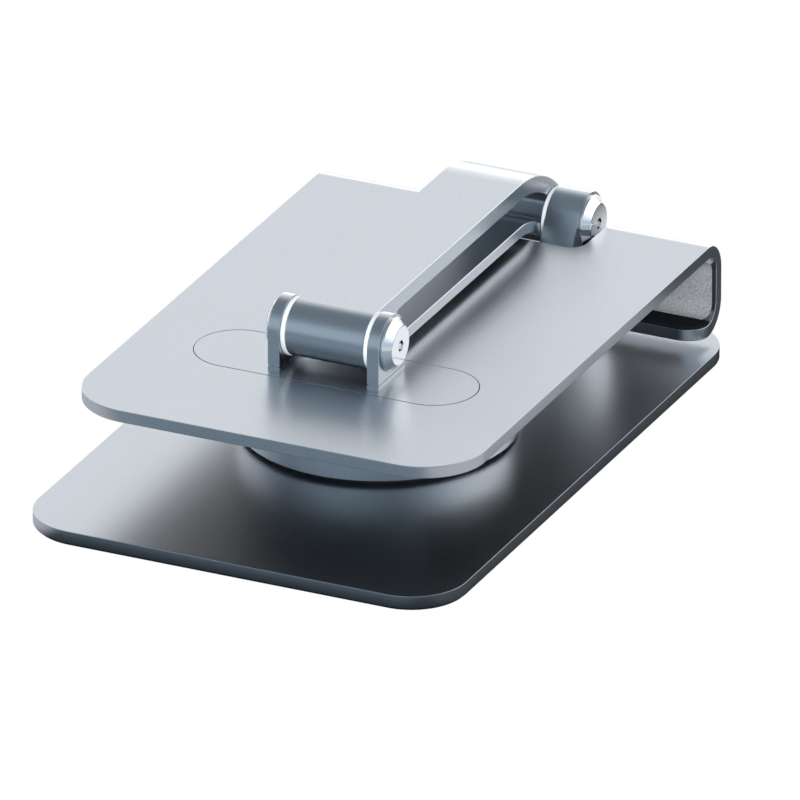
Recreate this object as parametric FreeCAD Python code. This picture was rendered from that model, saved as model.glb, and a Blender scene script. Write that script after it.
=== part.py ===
import FreeCAD, Part
import math
import os

# Folding laptop stand on a turning foot, shown folded flat.
# Millimetres. Origin: middle of the underside of the base. X: width, Y: away from the user, Z: up.

V = FreeCAD.Vector
X_AXIS, Y_AXIS, Z_AXIS = V(1, 0, 0), V(0, 1, 0), V(0, 0, 1)

# ---- driving dimensions ----------------------------------------------------------------------

# Base
BASE_WIDTH = 172.4
BASE_LENGTH = 263.0
BASE_CORNER = 22.0
BASE_PLATE = 5.0
BASE_PAD = 1.0
BASE_PAD_INSET = 1.2
EDGE_CHAMFER = 0.5

# Swivel in the middle of the base
DISC_RADIUS = 52.4
DISC_HEIGHT = 12.0
DISC_GAP = 1.3
DISC_RIM = 14.0
DISC_HOLLOW = 5.0
DISC_FLOOR = 6.0
HUB_RADIUS = 14.0
GLIDE_WIDTH = 9.0
GLIDE_INSET = 3.4
POST_RADIUS = 8.0
POST_FLANGE_RADIUS = 20.0
POST_FLANGE = 2.5
POST_SCREW_CIRCLE = 14.5
POST_SCREW_RADIUS = 1.5
POST_SCREW_SKIN = 0.6
BUSH_WALL = 2.0
NUT_WIDTH = 22.0
NUT_HEIGHT = 3.0
NUT_RECESS_WALL = 2.0
WASHER_WIDTH = 6.0
WASHER_THICKNESS = 1.0
COVER_THICKNESS = 1.0
COVER_SEAT = 2.0

# Platform that the laptop lies on, with its curled far edge
PLATFORM_WIDTH = 160.0
PLATFORM_NEAR_Y = -104.6
PLATFORM_FAR_Y = 129.4
PLATFORM_TOP = 38.9
PLATFORM_THICKNESS = 4.65
PLATFORM_CORNER = 24.6
CURL_HEIGHT = 36.2
CURL_RADIUS = 12.0
LIP_LENGTH = 19.5
LIP_CORNER = 10.0
NOTCH_CLEARANCE = 2.55
NOTCH_DEPTH = 33.0
NOTCH_CORNER = 6.0
REST_PAD_LENGTH = 170.0
REST_PAD_THICKNESS = 1.5
REST_PAD_MARGIN = 8.0
HOOK_PAD_THICKNESS = 2.0
HOOK_PAD_WRAP = 69.0
HOOK_PAD_MARGIN = 0.5
HOOK_PAD_CORNER = 5.0
LIP_PAD_THICKNESS = 0.8
LIP_PAD_MARGIN = 0.5
LIP_PAD_GAP = 3.0

# Hinge plate let into the platform
INSERT_LENGTH = 112.0
INSERT_WIDTH = 33.0
INSERT_THICKNESS = 2.4
INSERT_SEAM = 0.25

# Hinges. The near axis is on the platform, the far axis on the swivel bracket.
NEAR_AXIS_Y = -36.8
NEAR_AXIS_RISE = 13.7
HINGE_SPAN = 156.0
FAR_AXIS_RISE = 0.8
EAR_RADIUS = 11.4
EAR_THICKNESS = 4.75
FAR_EAR_THICKNESS = 13.3
PIN_RADIUS = 3.5
HINGE_BUSH_WALL = 1.25
FAR_BUSH_LENGTH = 10.0
HINGE_WASHER_RADIUS = 11.1
HINGE_WASHER = 1.7
CAP_RADIUS = 10.3
CAP_FACE_RADIUS = 7.4
CAP_RIM = 0.9
CAP_HEIGHT = 3.7
CAP_SOCKET = 4.0
CAP_SOCKET_DEPTH = 2.0
END_CAP_RADIUS = 9.4
END_CAP_HEIGHT = 2.5
STUD_RADIUS = 2.0
STUD_LENGTH = 7.0
STUD_ROOM = 1.0
SPRING_RADIUS = 7.2
SPRING_THICKNESS = 0.9
SPRING_DISH = 0.55
SPRING_COUNT = 4
SPRING_POCKET = 6.6

# Arm
ARM_WIDTH = 31.6
ARM_HALF_HEIGHT = 10.8
ARM_CHAMFER = 0.2
ARM_BEND_RADIUS = 50.0
ARM_TOP_STRIP = 6.4
ARM_BOTTOM_STRIP = 4.3
ARM_WINDOW_END = 7.4
ARM_WINDOW_START = 6.5
ARM_WINDOW_CORNER = 4.0

# Bracket from the disc to the far hinge
BRACKET_WIDTH = 60.0
BRACKET_PLATE = 8.0
BRACKET_NEAR_Y = -36.0
BRACKET_NEAR_CORNER = 12.0
BRACKET_BAR_GAP = 2.0
BRACKET_RISER = 27.0
BRACKET_TOE = 7.8
BRACKET_EAR_SLOPE = 30.0
BRACKET_SCREW_X = 22.0
BRACKET_SCREW_Y = 26.0
BRACKET_SCREW_RADIUS = 2.5
BRACKET_SCREW_SKIN = 1.2

# Countersunk screws
SCREW_SOCKET = 1.2

# Screws from the laptop side
SMALL_SCREW_RADIUS = 1.5
EAR_SCREW_Y = 6.5
EAR_SCREW_GRIP = 7.0
INSERT_SCREW_X = 40.0
INSERT_SCREW_Y = 9.0
INSERT_SCREW_SKIN = 0.5

# Clearances
RUNNING = 0.05
SEAT = 0.05
SIDE_PLAY = 0.1
LOOSE_BORE = 0.2
BUSH_INSET = 0.2
SPRING_BORE_PLAY = 0.3
SPRING_END_PLAY = 0.1

# How far a cutting shape reaches past what it cuts, and how near two places count as one
OVER = 1.0
TOLERANCE = 0.01

# ---- heights and places that follow from them ------------------------------------------------

base_top = BASE_PAD + BASE_PLATE
platform_top = base_top + PLATFORM_TOP
platform_under = platform_top - PLATFORM_THICKNESS
insert_under = platform_top - INSERT_THICKNESS
curl_bottom = platform_top - CURL_HEIGHT

near_y, near_z = NEAR_AXIS_Y, platform_top + NEAR_AXIS_RISE
far_y, far_z = NEAR_AXIS_Y + HINGE_SPAN, platform_top + FAR_AXIS_RISE

disc_under = base_top + DISC_GAP
disc_top = disc_under + DISC_HEIGHT
nut_recess_floor = disc_under + DISC_FLOOR
washer_bottom = nut_recess_floor + SEAT
nut_bottom = washer_bottom + WASHER_THICKNESS
post_top = nut_bottom + NUT_HEIGHT
nut_recess_radius = POST_RADIUS + WASHER_WIDTH + NUT_RECESS_WALL

bracket_plate_top = disc_top + BRACKET_PLATE
bracket_bar_top = far_z - EAR_RADIUS - BRACKET_BAR_GAP
bracket_far_y = far_y + EAR_RADIUS

arm_side = ARM_WIDTH / 2
ear_inner = arm_side + SIDE_PLAY + HINGE_WASHER + SEAT
ear_outer = ear_inner + EAR_THICKNESS
far_ear_outer = ear_inner + FAR_EAR_THICKNESS
notch_half_width = far_ear_outer + CAP_HEIGHT + NOTCH_CLEARANCE
arm_bore = PIN_RADIUS + RUNNING + HINGE_BUSH_WALL + RUNNING
spring_pocket_radius = SPRING_RADIUS + SPRING_BORE_PLAY
spring_depth = SPRING_COUNT * (SPRING_THICKNESS + SPRING_DISH)


# ---- helpers ---------------------------------------------------------------------------------

def block(x0, x1, y0, y1, z0, z1):
    return Part.makeBox(x1 - x0, y1 - y0, z1 - z0, V(x0, y0, z0))


def rod_x(radius, x0, x1, y, z):
    return Part.makeCylinder(radius, x1 - x0, V(x0, y, z), X_AXIS)


def rod_z(radius, x, y, z0, z1):
    return Part.makeCylinder(radius, z1 - z0, V(x, y, z0), Z_AXIS)


def ring_x(inner, outer, x0, x1, y, z):
    return rod_x(outer, x0, x1, y, z).cut(rod_x(inner, x0 - OVER, x1 + OVER, y, z))


def ring_z(inner, outer, z0, z1):
    return rod_z(outer, 0, 0, z0, z1).cut(rod_z(inner, 0, 0, z0 - OVER, z1 + OVER))


def round_edges(shape, radius, direction):
    """Rounds the straight edges that run along a direction."""
    chosen = []
    for edge in shape.Edges:
        straight = isinstance(edge.Curve, Part.Line)
        if straight and abs(edge.tangentAt(edge.FirstParameter) * direction) > 1 - TOLERANCE:
            chosen.append(edge)
    return shape.makeFillet(radius, chosen)


def slab(x0, x1, y0, y1, z0, z1, corner):
    """A block with its four upright edges rounded."""
    return round_edges(block(x0, x1, y0, y1, z0, z1), corner, Z_AXIS)


def chamfer_faces(shape, size, normal):
    """Breaks every edge of the flat faces that look along +normal or -normal and are outermost."""
    reach = [face.CenterOfMass * normal for face in shape.Faces]
    low, high = min(reach), max(reach)
    edges = []
    for face, place in zip(shape.Faces, reach):
        if isinstance(face.Surface, Part.Plane) and min(place - low, high - place) < TOLERANCE:
            edges.extend(face.Edges)
    return shape.makeChamfer(size, edges)


def turned_x(outline, y, z):
    """Turns an outline of (x, radius) points about a hinge axis."""
    wire = Part.makePolygon([V(x, 0, r) for x, r in outline + outline[:1]])
    solid = Part.Face(wire).revolve(V(0, 0, 0), X_AXIS, 360)
    solid.translate(V(0, y, z))
    return solid


def turned_z(outline, x, y):
    """Turns an outline of (radius, z) points about an upright axis."""
    wire = Part.makePolygon([V(r, 0, z) for r, z in outline + outline[:1]])
    solid = Part.Face(wire).revolve(V(0, 0, 0), Z_AXIS, 360)
    solid.translate(V(x, y, 0))
    return solid


def hexagon(width, start, axis, length):
    """A six-sided prism, width across its flats."""
    corner = width / 2 / math.cos(math.pi / 6)
    side = X_AXIS if abs(axis * X_AXIS) < 0.5 else Y_AXIS
    other = axis.cross(side)
    points = []
    for i in range(7):
        a = math.radians(60 * i)
        points.append(start + side * (corner * math.cos(a)) + other * (corner * math.sin(a)))
    return Part.Face(Part.makePolygon(points)).extrude(axis * length)


def band(path, x0, x1):
    """Extrudes an outline in the YZ plane across the width. Each step is a line or an arc."""
    edges = []
    for step in path:
        points = [V(x0, y, z) for y, z in step]
        if len(points) == 2:
            edges.append(Part.makeLine(*points))
        else:
            edges.append(Part.Arc(*points).toShape())
    return Part.Face(Part.Wire(edges)).extrude(V(x1 - x0, 0, 0))


def on_circle(centre, radius, degrees):
    a = math.radians(degrees)
    return centre[0] + radius * math.cos(a), centre[1] + radius * math.sin(a)


def arc(centre, radius, start, end):
    """Three points of an arc, for band()."""
    return [on_circle(centre, radius, a) for a in (start, (start + end) / 2, end)]


def countersunk(radius, x, y, head_z, tip_z, extra=0.0, socket=True):
    """A countersunk screw from its flat head to its tip. With extra it is the hole for that screw."""
    up = 1 if tip_z > head_z else -1
    head = 2 * radius + extra
    stem = radius + extra
    cone_end = head_z + up * radius
    outline = [(0, head_z), (head, head_z), (stem, cone_end), (stem, tip_z), (0, tip_z)]
    if extra > 0:
        start = head_z - up * OVER
        outline = [(0, start), (head, start)] + outline[1:]
    screw = turned_z(outline, x, y)
    if socket:
        screw = screw.cut(hexagon(radius * SCREW_SOCKET, V(x, y, head_z), V(0, 0, up), radius))
    return screw


def fuse_all(shapes):
    result = shapes[0]
    for shape in shapes[1:]:
        result = result.fuse(shape)
    return result.removeSplitter()


def cut_all(shape, tools):
    for tool in tools:
        shape = shape.cut(tool)
    return shape


# ---- base ------------------------------------------------------------------------------------

def post_screw_places():
    places = []
    for i in range(3):
        a = math.radians(90 + 120 * i)
        places.append((POST_SCREW_CIRCLE * math.cos(a), POST_SCREW_CIRCLE * math.sin(a)))
    return places


def post_screw(x, y, extra=0.0):
    tip = base_top - POST_SCREW_SKIN + extra
    return countersunk(POST_SCREW_RADIUS, x, y, BASE_PAD, tip, extra, extra == 0.0)


def make_base_plate():
    half_w, half_l = BASE_WIDTH / 2, BASE_LENGTH / 2
    plate = slab(-half_w, half_w, -half_l, half_l, BASE_PAD, base_top, BASE_CORNER)
    plate = chamfer_faces(plate, EDGE_CHAMFER, Z_AXIS)
    flange = rod_z(POST_FLANGE_RADIUS + SEAT, 0, 0, BASE_PAD - OVER, BASE_PAD + POST_FLANGE)
    hole = rod_z(POST_RADIUS + SEAT, 0, 0, 0, base_top + OVER)
    return cut_all(plate, [flange, hole] + [post_screw(x, y, SEAT) for x, y in post_screw_places()])


def make_base_pad():
    half_w, half_l = BASE_WIDTH / 2 - BASE_PAD_INSET, BASE_LENGTH / 2 - BASE_PAD_INSET
    return slab(-half_w, half_w, -half_l, half_l, 0, BASE_PAD, BASE_CORNER - BASE_PAD_INSET)


def make_pivot_post():
    flange_top = BASE_PAD + POST_FLANGE
    post = rod_z(POST_FLANGE_RADIUS, 0, 0, BASE_PAD, flange_top)
    post = post.fuse(rod_z(POST_RADIUS, 0, 0, flange_top, post_top)).removeSplitter()
    return cut_all(post, [post_screw(x, y, SEAT) for x, y in post_screw_places()])


def make_post_screws():
    return [post_screw(x, y) for x, y in post_screw_places()]


def make_glide_ring():
    outer = DISC_RADIUS - GLIDE_INSET
    return ring_z(outer - GLIDE_WIDTH, outer, base_top, disc_under - SEAT)


def make_pivot_washer():
    inner = POST_RADIUS + LOOSE_BORE
    return ring_z(inner, POST_RADIUS + WASHER_WIDTH, washer_bottom, nut_bottom)


def make_pivot_nut():
    nut = hexagon(NUT_WIDTH, V(0, 0, nut_bottom), Z_AXIS, NUT_HEIGHT)
    return nut.cut(rod_z(POST_RADIUS, 0, 0, nut_bottom - OVER, post_top + OVER))


# ---- turntable -------------------------------------------------------------------------------

def bracket_screw_places():
    return [(sx * BRACKET_SCREW_X, sy * BRACKET_SCREW_Y) for sx in (-1, 1) for sy in (-1, 1)]


def bracket_screw(x, y, extra=0.0):
    tip = disc_under + DISC_HOLLOW + BRACKET_SCREW_SKIN - extra
    return countersunk(BRACKET_SCREW_RADIUS, x, y, bracket_plate_top, tip, extra, extra == 0.0)


def make_turntable():
    disc = rod_z(DISC_RADIUS, 0, 0, disc_under, disc_top)
    disc = chamfer_faces(disc, EDGE_CHAMFER, Z_AXIS)
    hollow = ring_z(HUB_RADIUS, DISC_RADIUS - DISC_RIM, disc_under - OVER, disc_under + DISC_HOLLOW)
    bore = rod_z(POST_RADIUS + RUNNING + BUSH_WALL + SEAT, 0, 0, disc_under - OVER, disc_top)
    recess = rod_z(nut_recess_radius, 0, 0, nut_recess_floor, disc_top + OVER)
    seat = rod_z(nut_recess_radius + COVER_SEAT + SEAT, 0, 0, disc_top - COVER_THICKNESS, disc_top + OVER)
    screws = [bracket_screw(x, y, SEAT) for x, y in bracket_screw_places()]
    return cut_all(disc, [hollow, bore, recess, seat] + screws)


def make_turntable_bush():
    inner = POST_RADIUS + RUNNING
    return ring_z(inner, inner + BUSH_WALL, disc_under, nut_recess_floor)


def make_pivot_cover():
    return rod_z(nut_recess_radius + COVER_SEAT, 0, 0, disc_top - COVER_THICKNESS, disc_top)


def bracket_profile():
    """Side view of the bracket below its ears: plate, then a riser under the far knuckle."""
    near_edge = bracket_far_y - BRACKET_RISER
    slope = bracket_bar_top - bracket_plate_top
    points = [(BRACKET_NEAR_Y, disc_top), (BRACKET_NEAR_Y, bracket_plate_top)]
    points += [(near_edge - slope, bracket_plate_top), (near_edge, bracket_bar_top)]
    points += [(bracket_far_y, bracket_bar_top), (bracket_far_y, disc_top + BRACKET_TOE)]
    points += [(bracket_far_y - BRACKET_TOE, disc_top), (BRACKET_NEAR_Y, disc_top)]
    return [[a, b] for a, b in zip(points[:-1], points[1:])]


def bracket_ear(x0, x1):
    """An ear with an upright far side, and a near side that runs down towards the user."""
    a = math.radians(BRACKET_EAR_SLOPE)
    crest = on_circle((far_y, far_z), EAR_RADIUS, 180 - BRACKET_EAR_SLOPE)
    foot = crest[0] - (crest[1] - bracket_plate_top) * math.tan(a)
    points = [(far_y, far_z), crest, (foot, bracket_plate_top)]
    points += [(bracket_far_y, bracket_plate_top), (bracket_far_y, far_z), (far_y, far_z)]
    upright = band([[a, b] for a, b in zip(points[:-1], points[1:])], x0, x1)
    return upright.fuse(rod_x(EAR_RADIUS, x0, x1, far_y, far_z)).removeSplitter()


def make_bracket():
    half = BRACKET_WIDTH / 2
    body = band(bracket_profile(), -half, half)
    beyond = bracket_far_y + 2 * BRACKET_NEAR_CORNER
    body = body.common(slab(-half, half, BRACKET_NEAR_Y, beyond, 0, far_z, BRACKET_NEAR_CORNER))
    body = fuse_all([body, bracket_ear(-ear_outer, -ear_inner), bracket_ear(ear_inner, far_ear_outer)])
    pin_hole = rod_x(PIN_RADIUS + SEAT, -ear_outer - OVER, far_ear_outer + OVER, far_y, far_z)
    pocket_start = far_ear_outer - SPRING_POCKET
    pocket = rod_x(spring_pocket_radius, pocket_start, far_ear_outer + OVER, far_y, far_z)
    screws = [bracket_screw(x, y, SEAT) for x, y in bracket_screw_places()]
    return cut_all(body, [pin_hole, pocket] + screws)


def make_bracket_screws():
    return [bracket_screw(x, y) for x, y in bracket_screw_places()]


# ---- hinge hardware, the same at both hinges ---------------------------------------------------

def hinge_pin(x0, x1, y, z):
    pin = rod_x(PIN_RADIUS, x0, x1, y, z)
    depth = STUD_LENGTH + STUD_ROOM
    bores = [rod_x(STUD_RADIUS + SEAT, x0 - OVER, x0 + depth, y, z),
             rod_x(STUD_RADIUS + SEAT, x1 - depth, x1 + OVER, y, z)]
    return cut_all(pin, bores)


def hinge_cap(x, y, z):
    """Conical cap screw on the right, with a six-sided socket."""
    face = x + CAP_HEIGHT
    outline = [(x - STUD_LENGTH, 0), (x - STUD_LENGTH, STUD_RADIUS), (x, STUD_RADIUS), (x, CAP_RADIUS),
               (x + CAP_RIM, CAP_RADIUS), (face, CAP_FACE_RADIUS), (face, 0)]
    cap = turned_x(outline, y, z)
    return cap.cut(hexagon(CAP_SOCKET, V(face - CAP_SOCKET_DEPTH, y, z), X_AXIS, CAP_SOCKET_DEPTH + OVER))


def hinge_end_cap(x, y, z):
    """Low cap on the left, with a bevelled rim."""
    step = END_CAP_HEIGHT / 2
    face = x - END_CAP_HEIGHT
    outline = [(x + STUD_LENGTH, 0), (x + STUD_LENGTH, STUD_RADIUS), (x, STUD_RADIUS), (x, END_CAP_RADIUS),
               (face + step, END_CAP_RADIUS), (face, END_CAP_RADIUS - step), (face, 0)]
    return turned_x(outline, y, z)


def hinge_washers(y, z):
    start = arm_side + SIDE_PLAY
    hole = PIN_RADIUS + SEAT
    right = ring_x(hole, HINGE_WASHER_RADIUS, start, start + HINGE_WASHER, y, z)
    left = ring_x(hole, HINGE_WASHER_RADIUS, -start - HINGE_WASHER, -start, y, z)
    return [left, right]


def disc_springs(x, y, z):
    """A stack of dished washers, set face to face in turn, from x upwards."""
    pitch = SPRING_THICKNESS + SPRING_DISH
    hole = PIN_RADIUS + LOOSE_BORE
    stack = []
    for i in range(SPRING_COUNT):
        start = x + i * pitch
        inner, outer = (SPRING_DISH, 0) if i % 2 else (0, SPRING_DISH)
        outline = [(start + inner, hole), (start + inner + SPRING_THICKNESS, hole),
                   (start + outer + SPRING_THICKNESS, SPRING_RADIUS), (start + outer, SPRING_RADIUS)]
        stack.append(turned_x(outline, y, z))
    return stack


def hinge_bushes(spans, y, z):
    inner = PIN_RADIUS + RUNNING
    return [ring_x(inner, inner + HINGE_BUSH_WALL, x0, x1, y, z) for x0, x1 in spans]


# ---- arm -------------------------------------------------------------------------------------

def bend_geometry():
    """Centre of the arm's bend, and the angle at which it meets the far hinge axis."""
    centre_z = near_z + ARM_HALF_HEIGHT - ARM_BEND_RADIUS
    middle = ARM_BEND_RADIUS - ARM_HALF_HEIGHT
    rise = far_z - centre_z
    centre_y = far_y - math.sqrt(middle ** 2 - rise ** 2)
    return (centre_y, centre_z), math.degrees(math.atan2(rise, far_y - centre_y))


def arm_outline():
    centre, end = bend_geometry()
    top, bottom = near_z + ARM_HALF_HEIGHT, near_z - ARM_HALF_HEIGHT
    outer, inner = ARM_BEND_RADIUS, ARM_BEND_RADIUS - 2 * ARM_HALF_HEIGHT
    return [
        arc((near_y, near_z), ARM_HALF_HEIGHT, 270, 90),
        [(near_y, top), (centre[0], top)],
        arc(centre, outer, 90, end),
        arc((far_y, far_z), ARM_HALF_HEIGHT, end, end - 180),
        arc(centre, inner, end, 90),
        [(centre[0], bottom), (near_y, bottom)],
    ]


def arm_window():
    centre, end = bend_geometry()
    outer = ARM_BEND_RADIUS - ARM_TOP_STRIP
    inner = ARM_BEND_RADIUS - 2 * ARM_HALF_HEIGHT + ARM_BOTTOM_STRIP
    middle = ARM_BEND_RADIUS - ARM_HALF_HEIGHT
    stop = end + math.degrees(ARM_WINDOW_END / middle)
    start = near_y + ARM_HALF_HEIGHT + ARM_WINDOW_START
    top, bottom = centre[1] + outer, centre[1] + inner
    outline = [
        [(start, bottom), (start, top)],
        [(start, top), (centre[0], top)],
        arc(centre, outer, 90, stop),
        [on_circle(centre, outer, stop), on_circle(centre, inner, stop)],
        arc(centre, inner, stop, 90),
        [(centre[0], bottom), (start, bottom)],
    ]
    prism = band(outline, -arm_side - OVER, arm_side + OVER)
    corners = [(start, bottom), (start, top)] + [on_circle(centre, r, stop) for r in (outer, inner)]
    edges = []
    for edge in prism.Edges:
        first, last = edge.Vertexes[0].Point, edge.Vertexes[-1].Point
        across = abs(first.x - last.x) > ARM_WIDTH / 2
        if across and any(math.hypot(first.y - y, first.z - z) < TOLERANCE for y, z in corners):
            edges.append(edge)
    return prism.makeFillet(ARM_WINDOW_CORNER, edges)


def make_arm():
    arm = band(arm_outline(), -arm_side, arm_side).cut(arm_window())
    arm = chamfer_faces(arm, ARM_CHAMFER, X_AXIS)
    end = arm_side + OVER
    bores = [rod_x(arm_bore, -end, end, near_y, near_z), rod_x(arm_bore, -end, end, far_y, far_z),
             rod_x(spring_pocket_radius, -end, -arm_side + SPRING_POCKET, near_y, near_z)]
    return cut_all(arm, bores)


def make_far_bushes():
    end = arm_side - BUSH_INSET
    return hinge_bushes([(-end, -end + FAR_BUSH_LENGTH), (end - FAR_BUSH_LENGTH, end)], far_y, far_z)


def make_near_bushes():
    end = arm_side - BUSH_INSET
    left = -arm_side + SPRING_POCKET + BUSH_INSET
    return hinge_bushes([(left, left + FAR_BUSH_LENGTH / 2), (end - FAR_BUSH_LENGTH, end)], near_y, near_z)


def make_near_springs():
    return disc_springs(-arm_side + SPRING_POCKET - spring_depth - SPRING_END_PLAY, near_y, near_z)


# ---- platform --------------------------------------------------------------------------------

def curl_outline():
    top, under = platform_top, platform_under
    wall, t = PLATFORM_FAR_Y, PLATFORM_THICKNESS
    bend = wall - CURL_RADIUS
    high, low = (bend, top - CURL_RADIUS), (bend, curl_bottom + CURL_RADIUS)
    inner = CURL_RADIUS - t
    lip = wall - LIP_LENGTH
    return [
        [(PLATFORM_NEAR_Y, top), (bend, top)],
        arc(high, CURL_RADIUS, 90, 0),
        [(wall, high[1]), (wall, low[1])],
        arc(low, CURL_RADIUS, 0, -90),
        [(bend, curl_bottom), (lip, curl_bottom)],
        [(lip, curl_bottom), (lip, curl_bottom + t)],
        [(lip, curl_bottom + t), (bend, curl_bottom + t)],
        arc(low, inner, -90, 0),
        [(wall - t, low[1]), (wall - t, high[1])],
        arc(high, inner, 0, 90),
        [(bend, under), (PLATFORM_NEAR_Y, under)],
        [(PLATFORM_NEAR_Y, under), (PLATFORM_NEAR_Y, top)],
    ]


def insert_shape(gap, z0, z1):
    radius = INSERT_WIDTH / 2 + gap
    reach = (INSERT_LENGTH - INSERT_WIDTH) / 2
    middle = block(-reach, reach, near_y - radius, near_y + radius, z0, z1)
    ends = [rod_z(radius, sx * reach, near_y, z0, z1) for sx in (-1, 1)]
    return fuse_all([middle] + ends)


def ear_screw_places():
    x = (ear_inner + ear_outer) / 2
    return [(sx * x, near_y + sy * EAR_SCREW_Y) for sx in (-1, 1) for sy in (-1, 1)]


def insert_screw_places():
    return [(sx * INSERT_SCREW_X, near_y + sy * INSERT_SCREW_Y) for sx in (-1, 1) for sy in (-1, 1)]


def ear_screw(x, y, extra=0.0):
    tip = platform_top + EAR_SCREW_GRIP + extra
    return countersunk(SMALL_SCREW_RADIUS, x, y, platform_under, tip, extra, extra == 0.0)


def insert_screw(x, y, extra=0.0):
    tip = platform_top - INSERT_SCREW_SKIN
    return countersunk(SMALL_SCREW_RADIUS, x, y, platform_under, tip, extra, extra == 0.0)


def screw_holes():
    holes = [ear_screw(x, y, SEAT) for x, y in ear_screw_places()]
    return holes + [insert_screw(x, y, SEAT) for x, y in insert_screw_places()]


def make_platform():
    half = PLATFORM_WIDTH / 2
    beyond = PLATFORM_FAR_Y + 2 * PLATFORM_CORNER
    low, high = curl_bottom - OVER, platform_top + OVER
    plate = band(curl_outline(), -half, half)
    plate = plate.common(slab(-half, half, PLATFORM_NEAR_Y, beyond, low, high, PLATFORM_CORNER))
    lip_near = PLATFORM_FAR_Y - LIP_LENGTH
    lip_top = curl_bottom + PLATFORM_THICKNESS + TOLERANCE
    lip_corners = block(-half - OVER, half + OVER, lip_near - OVER, lip_near + LIP_CORNER, low, lip_top)
    lip_corners = lip_corners.cut(slab(-half, half, lip_near, beyond, low, lip_top, LIP_CORNER))
    notch_near = PLATFORM_FAR_Y - NOTCH_DEPTH
    notch = slab(-notch_half_width, notch_half_width, notch_near, beyond, low, high, NOTCH_CORNER)
    pocket = insert_shape(INSERT_SEAM, insert_under, high)
    return cut_all(plate, [lip_corners, notch, pocket] + screw_holes())


def make_hinge_insert():
    return cut_all(insert_shape(0, insert_under, platform_top), screw_holes())


def make_ear(side):
    x0, x1 = (ear_inner, ear_outer) if side > 0 else (-ear_outer, -ear_inner)
    upright = block(x0, x1, near_y - EAR_RADIUS, near_y + EAR_RADIUS, platform_top, near_z)
    ear = upright.fuse(rod_x(EAR_RADIUS, x0, x1, near_y, near_z)).removeSplitter()
    ear = ear.cut(rod_x(PIN_RADIUS + SEAT, x0 - OVER, x1 + OVER, near_y, near_z))
    return cut_all(ear, [ear_screw(x, y, SEAT) for x, y in ear_screw_places() if x * side > 0])


def hook_pad_outline():
    """Side view of a pad that lines the hook's wall and follows its inner bends part of the way."""
    bend = PLATFORM_FAR_Y - CURL_RADIUS
    high, low = (bend, platform_top - CURL_RADIUS), (bend, curl_bottom + CURL_RADIUS)
    back = CURL_RADIUS - PLATFORM_THICKNESS
    front = back - HOOK_PAD_THICKNESS
    wrap = HOOK_PAD_WRAP
    return [
        arc(low, back, -wrap, 0),
        [on_circle(low, back, 0), on_circle(high, back, 0)],
        arc(high, back, 0, wrap),
        [on_circle(high, back, wrap), on_circle(high, front, wrap)],
        arc(high, front, wrap, 0),
        [on_circle(high, front, 0), on_circle(low, front, 0)],
        arc(low, front, 0, -wrap),
        [on_circle(low, front, -wrap), on_circle(low, back, -wrap)],
    ]


def make_hook_pad(side):
    x0 = notch_half_width + HOOK_PAD_MARGIN
    x1 = PLATFORM_WIDTH / 2 - HOOK_PAD_MARGIN
    if side < 0:
        x0, x1 = -x1, -x0
    pad = band(hook_pad_outline(), x0, x1)
    box = pad.BoundBox
    sheet = block(x0, x1, box.YMin - OVER, box.YMax + OVER, box.ZMin, box.ZMax)
    return pad.common(round_edges(sheet, HOOK_PAD_CORNER, Y_AXIS))


def lip_pad_outline():
    """Side view of a thin pad on the lip, which ends a few degrees of bend short of the hook pad."""
    bend = PLATFORM_FAR_Y - CURL_RADIUS
    low = (bend, curl_bottom + CURL_RADIUS)
    back = CURL_RADIUS - PLATFORM_THICKNESS
    front = back - LIP_PAD_THICKNESS
    end = -HOOK_PAD_WRAP - LIP_PAD_GAP
    near = PLATFORM_FAR_Y - LIP_LENGTH + LIP_PAD_MARGIN
    under = curl_bottom + PLATFORM_THICKNESS
    over = under + LIP_PAD_THICKNESS
    return [
        [(near, under), (bend, under)],
        arc(low, back, -90, end),
        [on_circle(low, back, end), on_circle(low, front, end)],
        arc(low, front, end, -90),
        [(bend, over), (near, over)],
        [(near, over), (near, under)],
    ]


def make_lip_pad(side):
    x0 = notch_half_width + LIP_PAD_MARGIN
    x1 = PLATFORM_WIDTH / 2 - LIP_PAD_MARGIN
    pad = band(lip_pad_outline(), *((x0, x1) if side > 0 else (-x1, -x0)))
    near, beyond = PLATFORM_FAR_Y - LIP_LENGTH + LIP_PAD_MARGIN, PLATFORM_FAR_Y + LIP_LENGTH
    corner = LIP_CORNER - LIP_PAD_MARGIN
    return pad.common(slab(-x1, x1, near, beyond, curl_bottom, platform_top, corner))


def make_rest_pad():
    """One broad sheet under the plate, over the heads of the hinge screws."""
    half = PLATFORM_WIDTH / 2 - REST_PAD_MARGIN
    y0 = PLATFORM_NEAR_Y + REST_PAD_MARGIN
    return slab(-half, half, y0, y0 + REST_PAD_LENGTH, platform_under - REST_PAD_THICKNESS,
                platform_under, PLATFORM_CORNER - REST_PAD_MARGIN)


# ---- write one file per piece ------------------------------------------------------------------

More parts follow.
